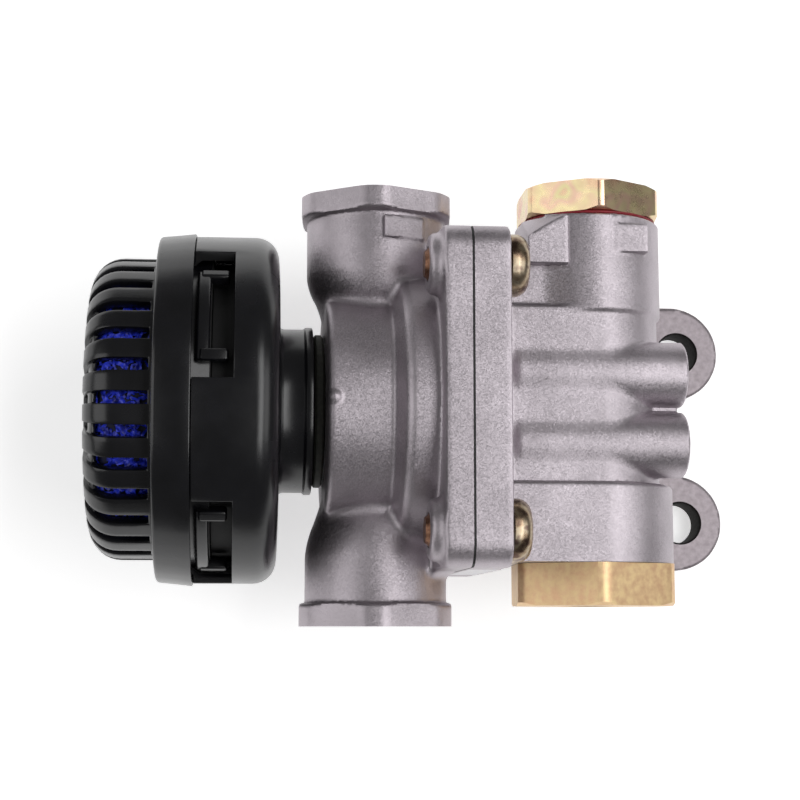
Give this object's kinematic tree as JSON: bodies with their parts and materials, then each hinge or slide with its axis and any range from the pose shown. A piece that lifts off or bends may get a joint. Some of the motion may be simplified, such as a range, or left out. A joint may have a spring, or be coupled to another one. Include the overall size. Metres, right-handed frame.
{
  "type": "quick exhaust valve",
  "caption": "Cast aluminium quick exhaust valve for compressed air with a black plastic silencer, hexagon ports, a zinc plug, a brass fitting and mounting lugs.",
  "frame": {"origin": "centre of the bounding box, at the height of the backs of the mounting lugs", "axes": "+X along the valve axis away from the silencer, +Y towards the hexagon plug, +Z away from the backs of the lugs"},
  "size_m": [0.17, 0.1098, 0.0883],
  "materials": {
    "cast_aluminium": "shot blasted sand casting, matt with a fine sparkle",
    "black_plastic": "moulded, semi-gloss",
    "blue_mesh": "knitted plastic mesh",
    "gold_zinc": "yellow passivated zinc plating, glossy and slightly iridescent",
    "brass": "machined, dull",
    "red_fibre": "vulcanised fibre, matt",
    "black_rubber": "moulded, matt",
    "grey_seal": "moulded, matt",
    "turned_aluminium": "turned, satin",
    "spring_steel": "drawn wire, satin"
  },
  "bodies": {
    "valve_body": {"lower_body": "cast_aluminium", "upper_body": "cast_aluminium", "flange_gasket": "black_rubber", "flange_screw_1": "gold_zinc", "flange_screw_2": "gold_zinc", "flange_screw_3": "gold_zinc", "flange_screw_4": "gold_zinc", "valve_guide": "turned_aluminium", "guide_seal": "black_rubber", "tube_seal": "black_rubber", "retaining_ring": "spring_steel", "neck_seal": "grey_seal", "silencer_housing": "black_plastic", "silencer_cage": "black_plastic", "silencer_pad": "blue_mesh", "hex_plug": "gold_zinc", "plug_washer": "red_fibre", "brass_fitting": "brass", "fitting_seal": "black_rubber", "valve_spring": "spring_steel", "shuttle_spring": "spring_steel"},
    "piston": {"relay_piston": "turned_aluminium", "piston_seal": "black_rubber"},
    "exhaust_valve": {"valve_tube": "turned_aluminium", "valve_disc": "black_rubber"},
    "shuttle": {"shuttle": "turned_aluminium", "shuttle_seal": "black_rubber"}
  },
  "joints": [
    {"name": "piston_slide", "type": "slide", "parent": "valve_body", "child": "piston", "axis": [-1, 0, 0], "range_m": [0, 0.0042]},
    {"name": "exhaust_valve_slide", "type": "slide", "parent": "valve_body", "child": "exhaust_valve", "axis": [-1, 0, 0], "range_m": [0, 0.0025], "stiffness_N_per_m": 600, "springref_m": -0.002, "deforming": ["valve_spring"]},
    {"name": "shuttle_slide", "type": "slide", "parent": "valve_body", "child": "shuttle", "axis": [0, 1, 0], "range_m": [0, 0.008], "stiffness_N_per_m": 300, "springref_m": -0.004, "deforming": ["shuttle_spring"]}
  ],
  "couplings": [
    {"joint": "exhaust_valve_slide", "follows": "piston_slide", "ratio": 0.59524}
  ]
}
